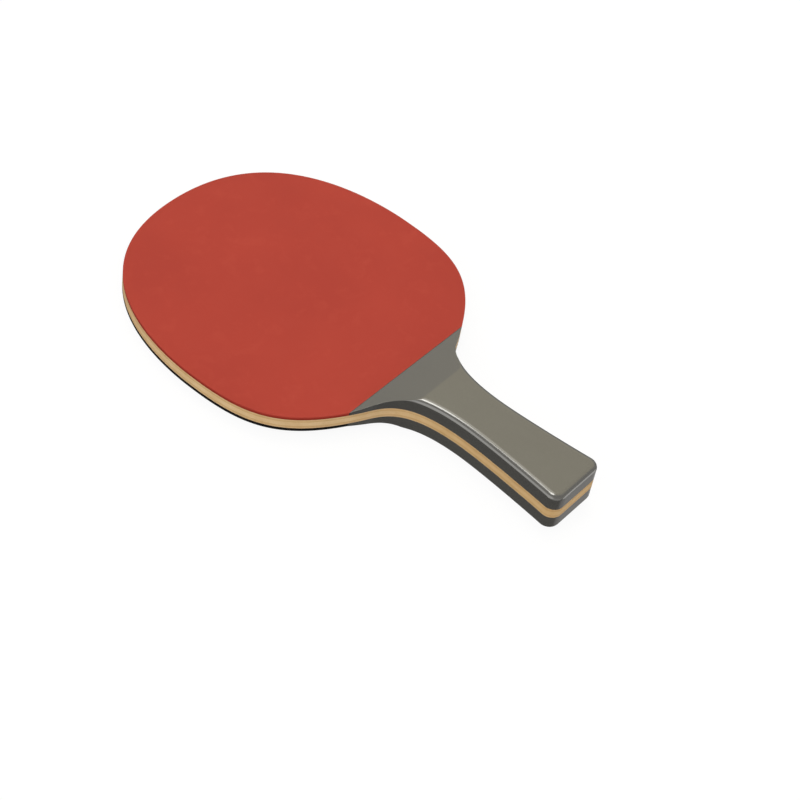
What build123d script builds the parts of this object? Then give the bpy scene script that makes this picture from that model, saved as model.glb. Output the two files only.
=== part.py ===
from build123d import *

import os
from math import atan2, cos, degrees, radians, sin, tan

# A table tennis paddle: a five-ply blade, a rubber on each face and a handle of two moulded shells.
# Millimetres. +Y runs along the paddle from the butt to the tip, +X across it, and +Z out of the
# front, red face. The origin is under the middle of the paddle, on the flat back of the handle.

# ---- overall sizes -------------------------------------------------------------------------------
HEAD_WIDTH = 150.0  # blade, across its widest part
HEAD_LENGTH = 150.6  # from the straight edge of the rubbers to the tip
HANDLE_LENGTH = 100.1  # from the straight edge of the rubbers to the butt
HANDLE_THICKNESS = 21.4  # over both handle shells
RAMP_LENGTH = 20.0  # of the sloping front of each handle shell

# ---- layers, through the thickness ---------------------------------------------------------------
CORE_PLY = 2.4
INNER_PLY = 0.9
FACE_PLY = 0.6
ADHESIVE_FILM = 0.1  # double-sided film under each rubber
SPONGE = 1.0
TOPSHEET = 0.75

# ---- plan outline of the blade and the handle ----------------------------------------------------
WIDEST_UP = 65.2  # the widest point, measured from the rubbers' straight edge towards the tip
TIP_FULLNESS = 67.3  # reach of each curve's end tangent, as are the other fullnesses and pulls
SHOULDER_FULLNESS = 24.5
CHEEK_FULLNESS = 32.1
NECK_HALF_WIDTH = 32.9  # half-width where the head's curve turns into the neck's
NECK_DOWN = 3.7  # that place, measured from the rubbers' straight edge towards the butt
NECK_ANGLE = 63.6  # direction of the outline there, from the long axis, in degrees
NECK_PULL_HEAD = 41.6
NECK_PULL_HANDLE = 9.8
WAIST_HALF_WIDTH = 12.7  # narrowest part of the handle
WAIST_DOWN = 45.2
WAIST_PULL_HEAD = 33.0
WAIST_PULL_BUTT = 14.2
BUTT_HALF_WIDTH = 17.15  # at the sharp corner, before it is rounded
BUTT_FLARE = 8.4  # angle of the handle's side at the butt, in degrees
BUTT_PULL = 3.5
BUTT_CORNER_RADIUS = 5.5

# ---- handle shells -------------------------------------------------------------------------------
SHELL_EDGE_RADIUS = 2.0  # rounding round the outer face
SHELL_WALL = 2.4
RIB_THICKNESS = 1.6
RIB_COUNT = 5

# ---- pegs that locate the two shells through the tang, one at every second rib -------------------
PEG_RADIUS = 2.5
PEG_CLEARANCE = 0.05  # on the radius, in the socket
TANG_HOLE_CLEARANCE = 0.15  # on the radius, in the blade
PEG_END_GAP = 0.4  # between a peg's end and the bottom of its socket
PEG_CHAMFER = 0.5
BOSS_WALL = 1.8

# ---- places worked out from the sizes ------------------------------------------------------------
overall_length = HEAD_LENGTH + HANDLE_LENGTH
tip_y = overall_length / 2
butt_y = -overall_length / 2
rubber_edge_y = butt_y + HANDLE_LENGTH
crease_y = rubber_edge_y - RAMP_LENGTH
widest_y = rubber_edge_y + WIDEST_UP
waist_y = rubber_edge_y - WAIST_DOWN

blade_thickness = CORE_PLY + 2 * (INNER_PLY + FACE_PLY)
rubber_thickness = ADHESIVE_FILM + SPONGE + TOPSHEET
mid_z = HANDLE_THICKNESS / 2
blade_top_z = mid_z + blade_thickness / 2
blade_bottom_z = mid_z - blade_thickness / 2
rubber_top_z = blade_top_z + rubber_thickness
shell_height = HANDLE_THICKNESS - blade_top_z
mid_plane = Plane.XY.offset(mid_z)

cavity_front_y = crease_y - SHELL_WALL
cavity_back_y = butt_y + SHELL_WALL
cavity_depth = shell_height - SHELL_WALL
rib_pitch = (cavity_front_y - cavity_back_y) / (RIB_COUNT + 1)
rib_points = [(0, cavity_front_y - (n + 1) * rib_pitch) for n in range(RIB_COUNT)]
peg_points = rib_points[::2]

os.makedirs("parts", exist_ok=True)


def write(builder, name):
    """Labels a finished piece and writes it to its own file."""
    builder.part.label = name
    export_step(builder.part, f"parts/{name}.step")


# ---- plan outline, shared by every layer ---------------------------------------------------------
neck = Vector(NECK_HALF_WIDTH, rubber_edge_y - NECK_DOWN)
neck_heading = Vector(-sin(radians(NECK_ANGLE)), -cos(radians(NECK_ANGLE)))
waist = Vector(WAIST_HALF_WIDTH, waist_y)
flare_heading = Vector(sin(radians(BUTT_FLARE)), -cos(radians(BUTT_FLARE)))
corner_length = BUTT_CORNER_RADIUS * tan(radians(90 + BUTT_FLARE) / 2)
corner_start = Vector(BUTT_HALF_WIDTH, butt_y) - flare_heading * corner_length

with BuildSketch() as paddle_outline:
    with BuildLine():
        head_side = Bezier(
            (0, tip_y),
            (TIP_FULLNESS, tip_y),
            (HEAD_WIDTH / 2, widest_y + SHOULDER_FULLNESS),
            (HEAD_WIDTH / 2, widest_y),
        )
        cheek = Bezier(
            head_side @ 1,
            (HEAD_WIDTH / 2, widest_y - CHEEK_FULLNESS),
            neck - neck_heading * NECK_PULL_HEAD,
            neck,
        )
        neck_curve = Bezier(
            cheek @ 1,
            neck + neck_heading * NECK_PULL_HANDLE,
            waist + Vector(0, WAIST_PULL_HEAD),
            waist,
        )
        grip_side = Bezier(
            neck_curve @ 1,
            waist - Vector(0, WAIST_PULL_BUTT),
            corner_start - flare_heading * BUTT_PULL,
            corner_start,
        )
        butt_corner = TangentArc(
            grip_side @ 1,
            (BUTT_HALF_WIDTH - corner_length, butt_y),
            tangent=grip_side % 1,
        )
        Line(butt_corner @ 1, (0, butt_y))
        mirror(about=Plane.YZ)
    make_face()

with BuildSketch() as blade_outline:
    add(paddle_outline.sketch)
    with Locations(*peg_points):
        Circle(PEG_RADIUS + TANG_HOLE_CLEARANCE, mode=Mode.SUBTRACT)

with BuildSketch() as rubber_outline:
    add(paddle_outline.sketch)
    split(bisect_by=Plane((0, rubber_edge_y, 0), z_dir=(0, 1, 0)), keep=Keep.TOP)

with BuildSketch() as handle_outline:
    add(paddle_outline.sketch)
    split(bisect_by=Plane((0, rubber_edge_y, 0), z_dir=(0, 1, 0)), keep=Keep.BOTTOM)

# ---- blade: five plies, glued face to face, from back to front -----------------------------------
plies = [
    ("back_face_ply", FACE_PLY),
    ("back_inner_ply", INNER_PLY),
    ("core_ply", CORE_PLY),
    ("front_inner_ply", INNER_PLY),
    ("front_face_ply", FACE_PLY),
]
ply_z = blade_bottom_z
for ply_name, ply_thickness in plies:
    with BuildPart() as ply:
        with BuildSketch(Plane.XY.offset(ply_z)):
            add(blade_outline.sketch)
        extrude(amount=ply_thickness)
    write(ply, ply_name)
    ply_z += ply_thickness

# ---- rubbers: adhesive film, sponge and topsheet, outwards from each face of the blade -----------
rubber_layers = [("adhesive_film", ADHESIVE_FILM), ("sponge", SPONGE), ("topsheet", TOPSHEET)]
layer_z = blade_top_z
for layer_name, layer_thickness in rubber_layers:
    with BuildPart() as front_layer:
        with BuildSketch(Plane.XY.offset(layer_z)):
            add(rubber_outline.sketch)
        extrude(amount=layer_thickness)
    write(front_layer, f"front_{layer_name}")
    with BuildPart() as back_layer:
        mirror(front_layer.part, about=mid_plane)
    write(back_layer, f"back_{layer_name}")
    layer_z += layer_thickness

# ---- what the two handle shells share, as the front one ------------------------------------------
ramp_rise = HANDLE_THICKNESS - rubber_top_z
ramp_angle = degrees(atan2(ramp_rise, RAMP_LENGTH))
ramp_plane = Plane(
    (0, rubber_edge_y, rubber_top_z),
    z_dir=(0, sin(radians(ramp_angle)), cos(radians(ramp_angle))),
)

with BuildPart() as shell_blank:
    with BuildSketch(Plane.XY.offset(blade_top_z)):
        add(handle_outline.sketch)
    extrude(amount=shell_height)
    outer_edges = shell_blank.faces().sort_by(Axis.Z)[-1].edges()
    fillet(outer_edges.sort_by(Axis.Y)[:-1], radius=SHELL_EDGE_RADIUS)
    split(bisect_by=ramp_plane, keep=Keep.BOTTOM)
    with BuildSketch(Plane.XY.offset(blade_top_z)):
        with Locations((-SHELL_WALL, 0)):
            add(handle_outline.sketch)
        with Locations((SHELL_WALL, 0)):
            add(handle_outline.sketch, mode=Mode.INTERSECT)
        with Locations((0, cavity_back_y)):
            cavity_length = cavity_front_y - cavity_back_y
            Rectangle(HEAD_WIDTH, cavity_length, align=(Align.CENTER, Align.MIN), mode=Mode.INTERSECT)
        with Locations(*rib_points):
            Rectangle(HEAD_WIDTH, RIB_THICKNESS, mode=Mode.SUBTRACT)
    extrude(amount=cavity_depth, mode=Mode.SUBTRACT)

# ---- front shell: a boss with a socket for each peg ----------------------------------------------
socket_radius = PEG_RADIUS + PEG_CLEARANCE
boss_radius = socket_radius + BOSS_WALL

with BuildPart() as front_handle_shell:
    add(shell_blank.part)
    with BuildSketch(Plane.XY.offset(blade_top_z)):
        with Locations(*peg_points):
            Circle(boss_radius)
    extrude(amount=cavity_depth)
    with BuildSketch(Plane.XY.offset(blade_top_z)):
        with Locations(*peg_points):
            Circle(socket_radius)
    extrude(amount=cavity_depth, mode=Mode.SUBTRACT)
write(front_handle_shell, "front_handle_shell")

# ---- back shell: pegs that pass through the tang into those sockets ------------------------------
peg_length = HANDLE_THICKNESS - 2 * SHELL_WALL - PEG_END_GAP

with BuildPart() as back_handle_shell:
    mirror(shell_blank.part, about=mid_plane)
    with BuildSketch(Plane.XY.offset(SHELL_WALL)):
        with Locations(*peg_points):
            Circle(boss_radius)
    extrude(amount=cavity_depth)
    with BuildSketch(Plane.XY.offset(SHELL_WALL)):
        with Locations(*peg_points):
            Circle(PEG_RADIUS)
    extrude(amount=peg_length)
    peg_rims = back_handle_shell.edges().group_by(Axis.Z)[-1]
    chamfer(peg_rims, length=PEG_CHAMFER)
write(back_handle_shell, "back_handle_shell")
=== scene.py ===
from math import atan2, cos, pi, radians, sin, sqrt, tan

import bmesh
import bpy
from mathutils import Matrix, Vector


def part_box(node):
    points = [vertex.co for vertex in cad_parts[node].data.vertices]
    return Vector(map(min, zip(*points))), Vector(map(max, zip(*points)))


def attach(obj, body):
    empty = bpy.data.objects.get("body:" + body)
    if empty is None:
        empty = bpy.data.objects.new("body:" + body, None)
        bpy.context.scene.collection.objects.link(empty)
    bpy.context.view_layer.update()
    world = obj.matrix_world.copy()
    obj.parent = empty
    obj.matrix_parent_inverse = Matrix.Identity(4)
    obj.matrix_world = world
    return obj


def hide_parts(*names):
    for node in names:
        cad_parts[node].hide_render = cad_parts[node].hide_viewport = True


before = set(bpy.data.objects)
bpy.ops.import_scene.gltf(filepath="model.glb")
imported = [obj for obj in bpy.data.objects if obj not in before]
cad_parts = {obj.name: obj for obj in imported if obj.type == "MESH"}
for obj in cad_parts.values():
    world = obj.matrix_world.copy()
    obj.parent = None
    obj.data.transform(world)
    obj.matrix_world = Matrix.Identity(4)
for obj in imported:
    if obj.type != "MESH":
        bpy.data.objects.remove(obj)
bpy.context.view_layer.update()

# The looks of a table tennis paddle: each layer and each handle shell of the frame is drawn again with
# softened edges and a finer mesh, and takes the place of its node. Metres, in the frame's own axes.

MM = 0.001

# ---- places read from the frame ------------------------------------------------------------------
blade_low, blade_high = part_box("core_ply")
rubber_low, rubber_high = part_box("front_topsheet")
shell_low, shell_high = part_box("front_handle_shell")

tip_y = blade_high.y
butt_y = blade_low.y
half_head = blade_high.x
rubber_edge_y = rubber_low.y
handle_top_z = shell_high.z
mid_z = handle_top_z / 2

# ---- shape of the plan outline, as the CAD draws it ----------------------------------------------
WIDEST_UP = 65.2 * MM
TIP_FULLNESS = 67.3 * MM
SHOULDER_FULLNESS = 24.5 * MM
CHEEK_FULLNESS = 32.1 * MM
NECK_HALF_WIDTH = 32.9 * MM
NECK_DOWN = 3.7 * MM
NECK_ANGLE = radians(63.6)
NECK_PULL_HEAD = 41.6 * MM
NECK_PULL_HANDLE = 9.8 * MM
WAIST_HALF_WIDTH = 12.7 * MM
WAIST_DOWN = 45.2 * MM
WAIST_PULL_HEAD = 33.0 * MM
WAIST_PULL_BUTT = 14.2 * MM
BUTT_HALF_WIDTH = 17.15 * MM
BUTT_FLARE = radians(8.4)
BUTT_PULL = 3.5 * MM
BUTT_CORNER_RADIUS = 5.5 * MM

# ---- handle shells -------------------------------------------------------------------------------
RAMP_LENGTH = 20.0 * MM
SHELL_EDGE_DOWN = 2.0 * MM  # the rounding round the outer face: down the wall,
SHELL_EDGE_ACROSS = 3.4 * MM  # and in across the face, where it dies away slowly
SHELL_RIM_ROUND = 0.12 * MM
CREASE_BLEND = 0.10 * MM  # how far the ramp and the flat melt into each other at the crease

# ---- how finely the meshes are cut ---------------------------------------------------------------
CURVE_POINTS = 600  # along each curve of the fine outline
CORNER_POINTS = 80  # round the butt's corner
OUTLINE_STEP = 1.1 * MM  # between rows along the outline
CREASE_STEP = 0.35 * MM  # between rows near the ramp's crease
CREASE_REACH = 7.5 * MM  # how far from the crease the rows stay close
SHORTEST_LAST_STEP = 0.4  # of a whole step; a shorter one is joined to the step before it
MITRE_LIMIT = 0.2  # cosine at which the outline's corners stop growing longer mitres
LAYER_COLUMNS = 48  # of quads across a ply or a rubber
SHELL_COLUMNS = 28
FILLET_RINGS = 18
AREA_WEIGHT = 90  # from 1 to 100; over 50 the larger faces count for more in the shading


# ---- plan outline --------------------------------------------------------------------------------
def bezier(p0, p1, p2, p3):
    """Points along a cubic curve from p0 to p3."""
    points = []
    for n in range(CURVE_POINTS + 1):
        t = n / CURVE_POINTS
        s = 1 - t
        points.append(p0 * s**3 + p1 * (3 * s * s * t) + p2 * (3 * s * t * t) + p3 * t**3)
    return points


def fine_outline():
    """The right half of the outline, from the tip to the middle of the butt, in very short steps."""
    widest = Vector((half_head, rubber_edge_y + WIDEST_UP))
    neck = Vector((NECK_HALF_WIDTH, rubber_edge_y - NECK_DOWN))
    neck_heading = Vector((-sin(NECK_ANGLE), -cos(NECK_ANGLE)))
    waist = Vector((WAIST_HALF_WIDTH, rubber_edge_y - WAIST_DOWN))
    flare = Vector((sin(BUTT_FLARE), -cos(BUTT_FLARE)))
    corner_length = BUTT_CORNER_RADIUS * tan((pi / 2 + BUTT_FLARE) / 2)
    corner_start = Vector((BUTT_HALF_WIDTH, butt_y)) - flare * corner_length
    corner_centre = corner_start + Vector((-cos(BUTT_FLARE), -sin(BUTT_FLARE))) * BUTT_CORNER_RADIUS

    tip = Vector((0, tip_y))
    points = bezier(tip, tip + Vector((TIP_FULLNESS, 0)), widest + Vector((0, SHOULDER_FULLNESS)), widest)
    points += bezier(
        widest, widest - Vector((0, CHEEK_FULLNESS)), neck - neck_heading * NECK_PULL_HEAD, neck
    )[1:]
    points += bezier(
        neck, neck + neck_heading * NECK_PULL_HANDLE, waist + Vector((0, WAIST_PULL_HEAD)), waist
    )[1:]
    points += bezier(
        waist, waist - Vector((0, WAIST_PULL_BUTT)), corner_start - flare * BUTT_PULL, corner_start
    )[1:]
    for n in range(1, CORNER_POINTS + 1):
        angle = BUTT_FLARE + (-pi / 2 - BUTT_FLARE) * n / CORNER_POINTS
        points.append(corner_centre + Vector((cos(angle), sin(angle))) * BUTT_CORNER_RADIUS)
    return points


def clip(points, high, low):
    """The stretch of the half outline between two heights, with a point exactly on each."""
    kept = []
    for a, b in zip(points, points[1:]):
        for limit in (high, low):
            if a.y > limit > b.y:
                kept.append(a.lerp(b, (a.y - limit) / (a.y - b.y)))
        if low <= b.y <= high:
            kept.append(b)
    if points[0].y <= high:
        kept.insert(0, points[0])
    return kept


def resample(points, step_at):
    """Points along the same line, at the spacing that step_at(y) asks for."""
    out = [points[0]]
    travelled = 0
    for a, b in zip(points, points[1:]):
        travelled += (b - a).length
        if travelled >= step_at(b.y):
            out.append(b)
            travelled = 0
    if (out[-1] - points[-1]).length < SHORTEST_LAST_STEP * step_at(points[-1].y):
        out.pop()
    out.append(points[-1])
    return out


fine = fine_outline()
crease_y = rubber_edge_y - RAMP_LENGTH


def even_step(y):
    """The spacing of the rows of a flat layer."""
    return OUTLINE_STEP


def crease_step(y):
    """The spacing of the rows of a handle shell, which are closer near its crease."""
    return CREASE_STEP if abs(y - crease_y) < CREASE_REACH else OUTLINE_STEP


blade_half = resample(fine, even_step)
rubber_half = resample(clip(fine, tip_y, rubber_edge_y), even_step)
handle_half = resample(clip(fine, rubber_edge_y, butt_y), crease_step)


# ---- closed solids made of rings and two ladders of quads ----------------------------------------
def inward_normals(half, straight_start):
    """For each point of the half outline, the direction that moves it inwards, as long as a mitre needs."""
    count = len(half)
    normals = []
    for n, point in enumerate(half):
        before = half[n - 1] if n > 0 else None
        after = half[n + 1] if n < count - 1 else None
        if before is None:
            before = Vector((0, point.y)) if straight_start else Vector((-after.x, after.y))
        if after is None:
            after = Vector((0, point.y))
        a = (point - before).normalized()
        b = (after - point).normalized()
        na = Vector((a.y, -a.x))
        nb = Vector((b.y, -b.x))
        middle = (na + nb).normalized()
        normals.append(middle / max(middle.dot(na), MITRE_LIMIT))
    return normals


def ladder_solid(name, half, rings, columns, straight_start=False, spread=None):
    """A closed mesh, the same on both sides of x = 0. Each ring is an inset and a function of the inset
    and y that gives its height. The rings run from the lower face round the edge to the upper one, and
    the first and last are filled with rows of quads. spread(y) is the share of each inset that is used."""
    normals = inward_normals(half, straight_start)
    last = len(half) - 1
    first_wide = 0 if straight_start else 1
    mesh = bmesh.new()

    def new_vertex(n, j, inset, height):
        """The point of row n in column j, where columns run from the left side to the right one."""
        reach = spread(half[n].y) if spread else 1
        at = half[n] + normals[n] * inset * reach
        x = max(at.x, 0) * (2 * j / columns - 1)
        return mesh.verts.new((x, at.y, height(inset * reach, at.y)))

    # a ring runs up the left side, along the start, down the right side and back along the end;
    # a start that is a single point has no column
    keys = [(n, 0) for n in range(last, first_wide - 1, -1)]
    keys += [(0, j) for j in range(1, columns)] if straight_start else [(0, None)]
    keys += [(n, columns) for n in range(first_wide, last + 1)]
    keys += [(last, j) for j in range(columns - 1, 0, -1)]

    loops = []
    for inset, height in rings:
        loop = {}
        for n, j in keys:
            loop[n, j] = new_vertex(n, columns / 2 if j is None else j, inset, height)
        loops.append(loop)
    for lower, upper in zip(loops, loops[1:]):
        for a, b in zip(keys, keys[1:] + keys[:1]):
            mesh.faces.new((lower[b], lower[a], upper[a], upper[b]))

    for loop, (inset, height), flip in ((loops[0], rings[0], True), (loops[-1], rings[-1], False)):
        grid = dict(loop)
        for n in range(first_wide, last + 1):
            for j in range(columns + 1):
                if (n, j) not in grid:
                    grid[n, j] = new_vertex(n, j, inset, height)
        for n in range(first_wide, last):
            for j in range(columns):
                corners = [grid[n, j], grid[n + 1, j], grid[n + 1, j + 1], grid[n, j + 1]]
                mesh.faces.new(corners[::-1] if flip else corners)
        if not straight_start:
            for j in range(columns):
                corners = [grid[0, None], grid[1, j], grid[1, j + 1]]
                mesh.faces.new(corners[::-1] if flip else corners)

    data = bpy.data.meshes.new(name)
    bmesh.ops.recalc_face_normals(mesh, faces=mesh.faces[:])
    mesh.to_mesh(data)
    mesh.free()
    for face in data.polygons:
        face.use_smooth = True
    piece = bpy.data.objects.new(name, data)
    bpy.context.scene.collection.objects.link(piece)
    return piece


def finish_piece(piece, node, material):
    """Smooths the shading by face area, gives the material and puts the piece in the place of its node."""
    weighted = piece.modifiers.new("even shading", "WEIGHTED_NORMAL")
    weighted.keep_sharp = True
    weighted.weight = AREA_WEIGHT
    piece.data.materials.append(material)
    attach(piece, "root")
    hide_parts(node)


def level(z):
    """The height of a flat ring, as a function of inset and y."""
    return lambda inset, y: z


def rounded_rings(low, high, low_round, high_round, steps):
    """Rings for a flat sheet whose lower and upper edges are rounded."""
    rings = []
    for n in range(steps + 1):
        angle = pi / 2 * n / steps
        rings.append((low_round * (1 - sin(angle)), level(low + low_round * (1 - cos(angle)))))
    for n in range(steps + 1):
        angle = pi / 2 * n / steps
        rings.append((high_round * (1 - cos(angle)), level(high - high_round * (1 - sin(angle)))))
    return rings


# ---- node material helpers -----------------------------------------------------------------------
class Nodes:
    """Builds one material's nodes, all on the object's own coordinates."""

    def __init__(self, name):
        self.material = bpy.data.materials.new(name)
        self.material.use_nodes = True
        self.tree = self.material.node_tree
        self.shader = self.tree.nodes["Principled BSDF"]
        self.place = self.tree.nodes.new("ShaderNodeTexCoord").outputs["Object"]

    def link(self, source, target):
        self.tree.links.new(source, target)

    def scaled(self, x, y, z):
        """The coordinates in millimetres, divided by these lengths."""
        node = self.tree.nodes.new("ShaderNodeMapping")
        self.link(self.place, node.inputs["Vector"])
        node.inputs["Scale"].default_value = (1 / (x * MM), 1 / (y * MM), 1 / (z * MM))
        return node.outputs["Vector"]

    def noise(self, vector, detail=3.0, roughness=0.55, distortion=0.0):
        node = self.tree.nodes.new("ShaderNodeTexNoise")
        self.link(vector, node.inputs["Vector"])
        node.inputs["Scale"].default_value = 1.0
        node.inputs["Detail"].default_value = detail
        node.inputs["Roughness"].default_value = roughness
        node.inputs["Distortion"].default_value = distortion
        return node.outputs["Fac"]

    def cells(self, vector):
        node = self.tree.nodes.new("ShaderNodeTexVoronoi")
        self.link(vector, node.inputs["Vector"])
        node.inputs["Scale"].default_value = 1.0
        node.inputs["Randomness"].default_value = 1.0
        return node.outputs["Distance"]

    def remap(self, value, low, high, to_low=0.0, to_high=1.0):
        node = self.tree.nodes.new("ShaderNodeMapRange")
        self.link(value, node.inputs["Value"])
        node.inputs["From Min"].default_value = low
        node.inputs["From Max"].default_value = high
        node.inputs["To Min"].default_value = to_low
        node.inputs["To Max"].default_value = to_high
        return node.outputs["Result"]

    def along(self, axis, low, high):
        """0 to 1 between two places on an axis of the object."""
        node = self.tree.nodes.new("ShaderNodeSeparateXYZ")
        self.link(self.place, node.inputs["Vector"])
        return self.remap(node.outputs[axis], low, high)

    def math(self, operation, a, b):
        node = self.tree.nodes.new("ShaderNodeMath")
        node.operation = operation
        for socket, value in zip(node.inputs, (a, b)):
            if isinstance(value, (int, float)):
                socket.default_value = value
            else:
                self.link(value, socket)
        return node.outputs["Value"]

    def mix(self, factor, a, b, blend="MIX"):
        """A colour between a and b, each a colour or a socket."""
        node = self.tree.nodes.new("ShaderNodeMix")
        node.data_type = "RGBA"
        node.blend_type = blend
        sockets = {s.identifier: s for s in node.inputs}
        for key, value in (("Factor_Float", factor), ("A_Color", a), ("B_Color", b)):
            if isinstance(value, (int, float)):
                sockets[key].default_value = value
            elif isinstance(value, tuple):
                sockets[key].default_value = (*value, 1.0)
            else:
                self.link(value, sockets[key])
        return next(s for s in node.outputs if s.identifier == "Result_Color")

    def bump(self, height, distance, strength, under=None):
        node = self.tree.nodes.new("ShaderNodeBump")
        node.inputs["Strength"].default_value = strength
        node.inputs["Distance"].default_value = distance
        self.link(height, node.inputs["Height"])
        if under is not None:
            self.link(under, node.inputs["Normal"])
        return node.outputs["Normal"]

    def edges(self, low, high):
        """1 on the convex edges and 0 on the flats, from the mesh's own curvature."""
        node = self.tree.nodes.new("ShaderNodeNewGeometry")
        return self.remap(node.outputs["Pointiness"], low, high)

    def set(self, name, value):
        self.shader.inputs[name].default_value = value

    def feed(self, name, source):
        self.link(source, self.shader.inputs[name])


def srgb(red, green, blue):
    """A display colour, 0 to 255, as the linear one that the nodes use."""
    linear = []
    for value in (red, green, blue):
        c = value / 255
        linear.append(c / 12.92 if c <= 0.04045 else ((c + 0.055) / 1.055) ** 2.4)
    return tuple(linear)


# ---- materials -----------------------------------------------------------------------------------
GRIP_SHADE_START_Y = rubber_edge_y - 5 * MM  # painted shade: from here to the next value the wood is painted darker towards the butt, standing in for the shade on the grip's edge
GRIP_SHADE_FULL_Y = rubber_edge_y - 32 * MM
GRIP_SHADE_TINT = (0.87, 0.84, 0.76)


def wood(name, light, dark, grain_along, fibre, pore):
    """Bare sanded wood: streaks along the grain, fibre millimetres long, and pores as strong as pore. They
    look like end grain where the grain meets the surface."""
    n = Nodes(name)
    if grain_along == "y":
        streaks = n.scaled(0.55, fibre, 0.40)
        fine_streaks = n.scaled(0.12, fibre * 0.35, 0.10)
        pores = n.scaled(0.16, 2.6, 0.14)
    else:
        streaks = n.scaled(fibre, 0.55, 0.40)
        fine_streaks = n.scaled(fibre * 0.35, 0.12, 0.10)
        pores = n.scaled(2.6, 0.16, 0.14)
    broad = n.noise(n.scaled(8, 7, 5), detail=3.0)
    bands = n.noise(streaks, detail=4.0, roughness=0.6, distortion=0.3)
    threads = n.noise(fine_streaks, detail=3.0, roughness=0.6)
    dashes = n.remap(n.noise(pores, detail=1.0), 0.64, 0.74)
    tone = n.remap(bands, 0.3, 0.7)
    tone = n.math("ADD", n.math("MULTIPLY", tone, 0.38), n.math("MULTIPLY", n.remap(threads, 0.3, 0.7), 0.35))
    tone = n.math("ADD", tone, n.math("MULTIPLY", n.remap(broad, 0.34, 0.66), 0.36))
    colour = n.mix(tone, light, dark)
    pore_colour = tuple(c * 0.45 for c in dark)
    colour = n.mix(n.math("MULTIPLY", dashes, pore), colour, pore_colour)
    # painted shade: the grip's wood is darkened along y towards the butt
    grip_shade = n.mix(n.along("Y", GRIP_SHADE_START_Y, GRIP_SHADE_FULL_Y), (1.0, 1.0, 1.0), GRIP_SHADE_TINT)
    n.feed("Base Color", n.mix(1.0, colour, grip_shade, "MULTIPLY"))
    n.feed("Roughness", n.remap(threads, 0.3, 0.7, 0.52, 0.68))
    height = n.math("SUBTRACT", n.math("MULTIPLY", threads, 0.5), n.math("MULTIPLY", dashes, 0.8))
    n.feed("Normal", n.bump(height, 0.03 * MM, 0.5))
    n.set("Specular IOR Level", 0.30)
    return n.material


def rubber(name, base, shade, bright):
    """The outside of a topsheet: matte, grippy and a little uneven."""
    n = Nodes(name)
    cloud = n.noise(n.scaled(38, 38, 38), detail=3.0, roughness=0.5)
    patches = n.noise(n.scaled(9, 9, 9), detail=4.0, roughness=0.6, distortion=0.4)
    skin = n.noise(n.scaled(0.28, 0.28, 0.28), detail=3.0, roughness=0.6)
    grit = n.noise(n.scaled(0.07, 0.07, 0.07), detail=2.0)
    colour = n.mix(n.remap(cloud, 0.32, 0.68), base, shade)
    colour = n.mix(n.math("MULTIPLY", n.remap(patches, 0.52, 0.78), 0.30), colour, bright)
    colour = n.mix(n.math("MULTIPLY", n.remap(grit, 0.58, 0.75), 0.10), colour, bright)
    colour = n.mix(n.math("MULTIPLY", n.edges(0.52, 0.60), 0.25), colour, bright)
    n.feed("Base Color", colour)
    rough = n.math("ADD", n.remap(patches, 0.3, 0.7, 0.52, 0.60), n.remap(skin, 0.3, 0.7, -0.03, 0.03))
    n.feed("Roughness", rough)
    under = n.bump(cloud, 0.6 * MM, 0.15)
    n.feed("Normal", n.bump(n.math("ADD", skin, n.math("MULTIPLY", grit, 0.4)), 0.012 * MM, 0.45, under))
    n.set("Specular IOR Level", 0.16)
    return n.material


def sponge(name, base, pore_colour):
    """Fine-celled foam, seen at its cut edge."""
    n = Nodes(name)
    cells = n.cells(n.scaled(0.16, 0.16, 0.16))
    small = n.noise(n.scaled(0.06, 0.06, 0.06), detail=2.0)
    cloud = n.noise(n.scaled(7, 7, 2), detail=2.0)
    open_cells = n.remap(cells, 0.18, 0.42, 1.0, 0.0)
    colour = n.mix(n.math("MULTIPLY", open_cells, 0.55), base, pore_colour)
    colour = n.mix(n.math("MULTIPLY", n.remap(cloud, 0.3, 0.7), 0.20), colour, pore_colour)
    n.feed("Base Color", colour)
    n.feed("Roughness", n.remap(small, 0.3, 0.7, 0.80, 0.95))
    height = n.math("ADD", cells, n.math("MULTIPLY", small, 0.3))
    n.feed("Normal", n.bump(height, 0.06 * MM, 0.6))
    n.set("Specular IOR Level", 0.15)
    return n.material


def film(name, clear, cloudy):
    """The edge of the adhesive film under a rubber."""
    n = Nodes(name)
    blotch = n.noise(n.scaled(2.5, 2.5, 0.3), detail=3.0)
    fine_noise = n.noise(n.scaled(0.2, 0.2, 0.05), detail=2.0)
    n.feed("Base Color", n.mix(n.remap(blotch, 0.35, 0.65), clear, cloudy))
    n.feed("Roughness", n.remap(blotch, 0.3, 0.7, 0.40, 0.60))
    n.feed("Normal", n.bump(fine_noise, 0.01 * MM, 0.5))
    n.set("Specular IOR Level", 0.35)
    return n.material


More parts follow.
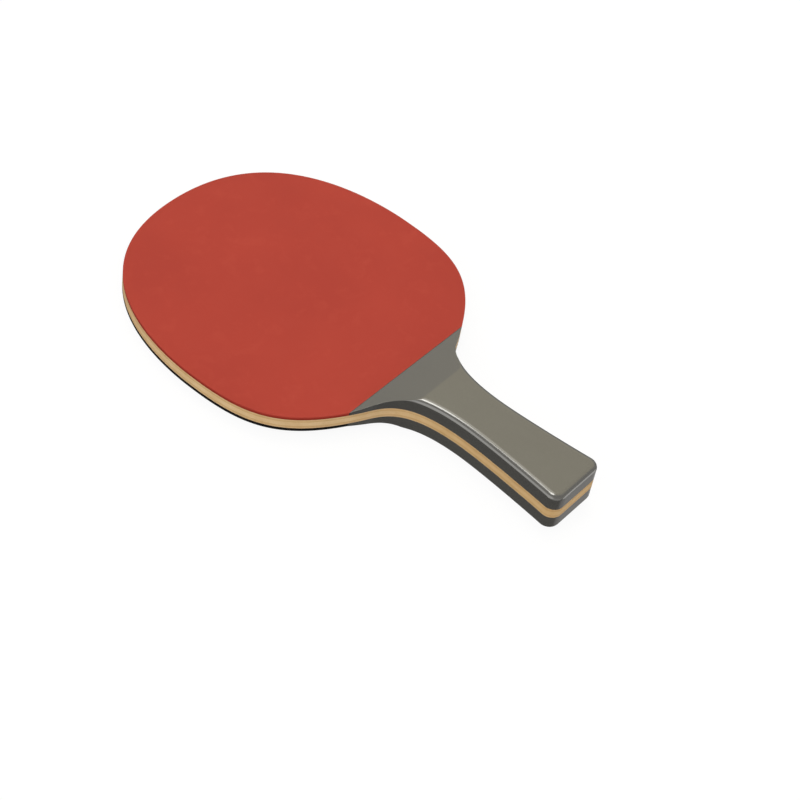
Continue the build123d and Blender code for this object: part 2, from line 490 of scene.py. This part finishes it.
def plastic(name, base, shade, worn):
    """Satin moulded plastic with a fine eroded grain, polished a little on the edges that hands touch."""
    n = Nodes(name)
    cloud = n.noise(n.scaled(26, 40, 20), detail=3.0)
    grain = n.noise(n.scaled(0.22, 0.22, 0.22), detail=3.0, roughness=0.65)
    speck = n.cells(n.scaled(0.30, 0.30, 0.30))
    rubbed = n.noise(n.scaled(5, 12, 5), detail=4.0, roughness=0.6)
    edge = n.edges(0.515, 0.60)
    colour = n.mix(n.remap(cloud, 0.3, 0.7), base, shade)
    colour = n.mix(n.math("MULTIPLY", n.remap(grain, 0.55, 0.75), 0.22), colour, worn)
    wear = n.math("MULTIPLY", edge, n.remap(rubbed, 0.35, 0.65, 0.10, 0.45))
    colour = n.mix(wear, colour, worn)
    n.feed("Base Color", colour)
    rough = n.math("ADD", n.remap(rubbed, 0.3, 0.7, 0.11, 0.15), n.remap(grain, 0.3, 0.7, -0.02, 0.02))
    rough = n.math("SUBTRACT", rough, n.math("MULTIPLY", edge, 0.05))
    n.feed("Roughness", rough)
    under = n.bump(cloud, 0.3 * MM, 0.03)
    height = n.math("ADD", grain, n.math("MULTIPLY", speck, 0.3))
    n.feed("Normal", n.bump(height, 0.006 * MM, 0.25, under))
    n.set("IOR", 1.6)
    n.set("Specular IOR Level", 1.0)
    return n.material


face_wood = wood("face_veneer", srgb(226, 194, 149), srgb(203, 165, 116), "y", fibre=16.0, pore=0.35)
inner_wood = wood("inner_veneer", srgb(215, 180, 130), srgb(195, 156, 105), "x", fibre=12.0, pore=0.45)
core_wood = wood("core_timber", srgb(229, 199, 155), srgb(208, 172, 122), "y", fibre=22.0, pore=0.22)
red_rubber = rubber("red_topsheet_rubber", srgb(163, 55, 42), srgb(158, 52, 40), srgb(176, 71, 57))
black_rubber = rubber("black_topsheet_rubber", srgb(14, 13, 13), srgb(10, 9, 10), srgb(34, 33, 32))
red_sponge = sponge("red_sponge_foam", srgb(150, 46, 33), srgb(112, 30, 20))
black_sponge = sponge("black_sponge_foam", srgb(10, 9, 8), srgb(3, 3, 3))
adhesive = film("adhesive_edge", srgb(150, 104, 72), srgb(128, 84, 54))
grey_plastic = plastic("grey_handle_plastic", srgb(61, 60, 55), srgb(58, 56, 52), srgb(84, 82, 76))

# ---- blade ---------------------------------------------------------------------------------------
PLY_EDGE_ROUND = 0.04 * MM
plies = (
    ("back_face_ply", "face_wood", face_wood),
    ("back_inner_ply", "inner_wood", inner_wood),
    ("core_ply", "core_wood", core_wood),
    ("front_inner_ply", "inner_wood", inner_wood),
    ("front_face_ply", "face_wood", face_wood),
)
for node, slot, material in plies:
    low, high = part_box(node)
    rings = rounded_rings(low.z, high.z, PLY_EDGE_ROUND, PLY_EDGE_ROUND, steps=2)
    ply = ladder_solid(f"{node}_sanded", blade_half, rings, LAYER_COLUMNS)
    finish_piece(ply, node, material)

# ---- rubbers -------------------------------------------------------------------------------------
FILM_SET_BACK = 0.05 * MM
SPONGE_EDGE_ROUND = 0.05 * MM
TOPSHEET_INNER_ROUND = 0.05 * MM
TOPSHEET_OUTER_ROUND = 0.16 * MM
for side, sponge_slot, sponge_material, sheet_slot, sheet_material in (
    ("front", "red_sponge", red_sponge, "red_rubber", red_rubber),
    ("back", "black_sponge", black_sponge, "black_rubber", black_rubber),
):
    low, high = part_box(f"{side}_adhesive_film")
    rings = [(FILM_SET_BACK, level(low.z)), (FILM_SET_BACK, level(high.z))]
    glue = ladder_solid(f"{side}_adhesive_layer", rubber_half, rings, LAYER_COLUMNS)
    finish_piece(glue, f"{side}_adhesive_film", adhesive)

    low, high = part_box(f"{side}_sponge")
    rings = rounded_rings(low.z, high.z, SPONGE_EDGE_ROUND, SPONGE_EDGE_ROUND, steps=2)
    foam = ladder_solid(f"{side}_sponge_foam", rubber_half, rings, LAYER_COLUMNS)
    finish_piece(foam, f"{side}_sponge", sponge_material)

    low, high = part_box(f"{side}_topsheet")
    rounds = (TOPSHEET_INNER_ROUND, TOPSHEET_OUTER_ROUND)
    if side == "back":
        rounds = rounds[::-1]
    rings = rounded_rings(low.z, high.z, *rounds, steps=4)
    sheet = ladder_solid(f"{side}_topsheet_rubber", rubber_half, rings, LAYER_COLUMNS)
    finish_piece(sheet, f"{side}_topsheet", sheet_material)

# ---- handle shells -------------------------------------------------------------------------------
ramp_foot_z = rubber_high.z
ramp_slope = (handle_top_z - ramp_foot_z) / RAMP_LENGTH
FILLET_START = 6.0 * MM  # below the rubbers' edge; nearer to it the rings stay close to the rim,
FILLET_FULL = 11.5 * MM  # and from here on they take the whole fillet
RIM_SPREAD = 0.10  # share of the fillet's inset that the rings keep beside the rubbers
RIM_RINGS = 2  # round the rim that sits on the blade
RIM_FACE_RINGS = 3  # round the sharp edge where the ramp meets the wall


def softly_lower(a, b, blend):
    """The lower of two heights, with the corner between them rounded over about that height."""
    apart = max(blend - abs(a - b), 0) / blend
    return min(a, b) - apart * apart * blend / 4


def ring_spread(y):
    """The share of the fillet's inset that the rings take: almost none beside the ramp's sharp edges."""
    down = rubber_edge_y - y
    share = min(max((down - FILLET_START) / (FILLET_FULL - FILLET_START), 0), 1)
    share = share * share * (3 - 2 * share)
    return RIM_SPREAD + (1 - RIM_SPREAD) * share


def shell_height(inset, y):
    """Height of the front shell's outer surface: the lower of its rounded block and its ramp."""
    lean = max(1 - inset / SHELL_EDGE_ACROSS, 0)
    block = handle_top_z - SHELL_EDGE_DOWN * (1 - sqrt(max(1 - lean * lean, 0)))
    over_rim = max(SHELL_RIM_ROUND - inset, 0)
    worn = SHELL_RIM_ROUND - sqrt(max(SHELL_RIM_ROUND**2 - over_rim**2, 0))
    ramp = ramp_foot_z + ramp_slope * (rubber_edge_y - y) - worn
    return softly_lower(block, ramp, CREASE_BLEND)


def shell_rings(rim_z):
    """Rings from the rim that sits on the blade, up the wall and over the fillet."""
    rings = []
    for n in range(RIM_RINGS + 1):
        angle = pi / 2 * n / RIM_RINGS
        rings.append((SHELL_RIM_ROUND * (1 - sin(angle)), level(rim_z + SHELL_RIM_ROUND * (1 - cos(angle)))))
    insets = [SHELL_RIM_ROUND * (1 - cos(pi / 2 * n / RIM_FACE_RINGS)) for n in range(RIM_FACE_RINGS + 1)]
    for n in range(FILLET_RINGS + 1):
        inset = SHELL_EDGE_ACROSS * (1 - cos(pi / 2 * n / FILLET_RINGS))
        if inset > SHELL_RIM_ROUND:
            insets.append(inset)
    rings += [(inset, shell_height) for inset in insets]
    return rings


def mirrored(height):
    """The same height for the back of the handle, measured down from its middle."""
    return lambda inset, y: 2 * mid_z - height(inset, y)


front_rings = shell_rings(shell_low.z)
back_rings = [(inset, mirrored(height)) for inset, height in front_rings[::-1]]
for node, rings in (("front_handle_shell", front_rings), ("back_handle_shell", back_rings)):
    shell = ladder_solid(
        f"{node}_moulding", handle_half, rings, SHELL_COLUMNS, straight_start=True, spread=ring_spread
    )
    finish_piece(shell, node, grey_plastic)

# ---- floor: the plane that the paddle rests on, at the handle's crease and the head's tip --------
FLOOR_SIZE = 6.0  # metres
FLOOR_GREY = 0.08  # paper white is mostly its own glow, so that the paddle's shadow stays faint
FLOOR_GLOW = 0.92
rest_low = Vector((0, crease_y, 0))
rest_high = Vector((0, tip_y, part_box("back_topsheet")[0].z))
floor_tilt = atan2(rest_high.z - rest_low.z, rest_high.y - rest_low.y)


def make_floor():
    """A sheet of white paper, which the paddle neither mirrors nor takes light from."""
    mesh = bmesh.new()
    bmesh.ops.create_grid(mesh, x_segments=2, y_segments=2, size=FLOOR_SIZE / 2)
    data = bpy.data.meshes.new("floor")
    mesh.to_mesh(data)
    mesh.free()
    floor = bpy.data.objects.new("floor", data)
    bpy.context.scene.collection.objects.link(floor)
    floor.matrix_world = Matrix.Translation(rest_low) @ Matrix.Rotation(floor_tilt, 4, "X")
    n = Nodes("floor_paper")
    n.set("Base Color", (FLOOR_GREY, FLOOR_GREY, FLOOR_GREY, 1.0))
    n.set("Emission Color", (1.0, 1.0, 1.0, 1.0))
    n.set("Emission Strength", FLOOR_GLOW)
    n.set("Roughness", 0.9)
    n.set("Specular IOR Level", 0.0)
    data.materials.append(n.material)
    floor.visible_glossy = False
    floor.visible_diffuse = False


make_floor()


# ---- studio light --------------------------------------------------------------------------------
class Sky:
    """Soft studio light all round, as a sum of lights that each grow towards one direction."""

    def __init__(self):
        world = bpy.data.worlds.new("studio")
        bpy.context.scene.world = world
        world.use_nodes = True
        self.tree = world.node_tree
        self.background = self.tree.nodes["Background"]
        self.direction = self.tree.nodes.new("ShaderNodeTexCoord").outputs["Generated"]
        self.total = None

    def ramp(self, towards, start, stop, colour, strength):
        """Adds light that grows from none at cosine start to full at cosine stop from a direction."""
        dot = self.tree.nodes.new("ShaderNodeVectorMath")
        dot.operation = "DOT_PRODUCT"
        self.tree.links.new(self.direction, dot.inputs[0])
        dot.inputs[1].default_value = Vector(towards).normalized()
        grow = self.tree.nodes.new("ShaderNodeMapRange")
        grow.interpolation_type = "SMOOTHSTEP"
        self.tree.links.new(dot.outputs["Value"], grow.inputs["Value"])
        grow.inputs["From Min"].default_value = start
        grow.inputs["From Max"].default_value = stop
        tint = self.tree.nodes.new("ShaderNodeVectorMath")
        tint.operation = "SCALE"
        tint.inputs[0].default_value = [c * strength for c in colour]
        self.tree.links.new(grow.outputs["Result"], tint.inputs["Scale"])
        if self.total is None:
            self.total = tint.outputs["Vector"]
        else:
            add = self.tree.nodes.new("ShaderNodeVectorMath")
            add.operation = "ADD"
            self.tree.links.new(self.total, add.inputs[0])
            self.tree.links.new(tint.outputs["Vector"], add.inputs[1])
            self.total = add.outputs["Vector"]

    def finish(self):
        self.tree.links.new(self.total, self.background.inputs["Color"])


# each light: where it comes from, the cosines between which it grows to its full strength, its colour
# and that strength; the narrow ones are reflected in the rounded edges of the handle
WHITE = (1.0, 1.0, 1.0)
WARM_WHITE = (1.0, 0.98, 0.94)
LIGHTS = {
    "level all round": ((0, 0, 1), -1.2, -1.1, WHITE, 0.20),
    "upper half": ((0, 0, 1), -0.20, 0.20, WARM_WHITE, 0.52),
    "warm glow on the handle's flat": ((0.62, 0.28, 0.73), 0.775, 0.96, (1.0, 0.88, 0.50), 0.64),
    "glint where the edge leaves the crease": ((0.135, 0.215, 0.967), 0.985, 0.996, (1.0, 0.98, 0.93), 7.8),
    "soft line along the near edge": ((0.38, 0.36, 0.852), 0.979, 0.993, (1.0, 0.97, 0.90), 1.25),
    "second line, lower on the near edge": ((-0.80, 0.12, 0.50), 0.80, 0.93, (1.0, 0.99, 0.96), 1.45),
    "fill from the camera's side": ((-0.60, -0.80, 0.10), 0.60, 0.95, (1.0, 0.99, 0.96), 0.40),
    "line along the butt's edge": ((0.573, -0.81, -0.10), 0.90, 0.97, (1.0, 0.98, 0.95), 1.7),
    "low light on the butt's face": ((0.573, -0.367, -0.733), 0.75, 0.95, (1.0, 0.97, 0.93), 0.32),
}
sky = Sky()
for light in LIGHTS.values():
    sky.ramp(*light)
sky.finish()

# ---- camera --------------------------------------------------------------------------------------
CAMERA_AIM = Vector((-13.54, -33.44, 10.70)) * MM
CAMERA_DISTANCE = 974.6 * MM
CAMERA_AZIMUTH = radians(-57.34)
CAMERA_ELEVATION = radians(47.13)
CAMERA_ROLL = radians(10.86)
CAMERA_LENS = 96.55  # millimetres
CAMERA_SENSOR = 36.0  # millimetres wide


def make_camera():
    """The camera, turned about its aim and then rolled about its own line of sight."""
    back = Vector((
        sin(CAMERA_AZIMUTH) * cos(CAMERA_ELEVATION),
        -cos(CAMERA_AZIMUTH) * cos(CAMERA_ELEVATION),
        sin(CAMERA_ELEVATION),
    ))
    level_right = (-back).cross(Vector((0, 0, 1))).normalized()
    level_up = level_right.cross(-back)
    right = level_right * cos(CAMERA_ROLL) + level_up * sin(CAMERA_ROLL)
    up = level_up * cos(CAMERA_ROLL) - level_right * sin(CAMERA_ROLL)
    data = bpy.data.cameras.new("camera")
    data.sensor_width = CAMERA_SENSOR
    data.lens = CAMERA_LENS
    camera = bpy.data.objects.new("camera", data)
    bpy.context.scene.collection.objects.link(camera)
    place = Matrix((right, up, back)).transposed().to_4x4()
    place.translation = CAMERA_AIM + back * CAMERA_DISTANCE
    camera.matrix_world = place
    bpy.context.scene.camera = camera


make_camera()
bpy.context.scene.view_settings.view_transform = "Standard"

# ---- scene brought up to date --------------------------------------------------------------------
bpy.context.view_layer.update()
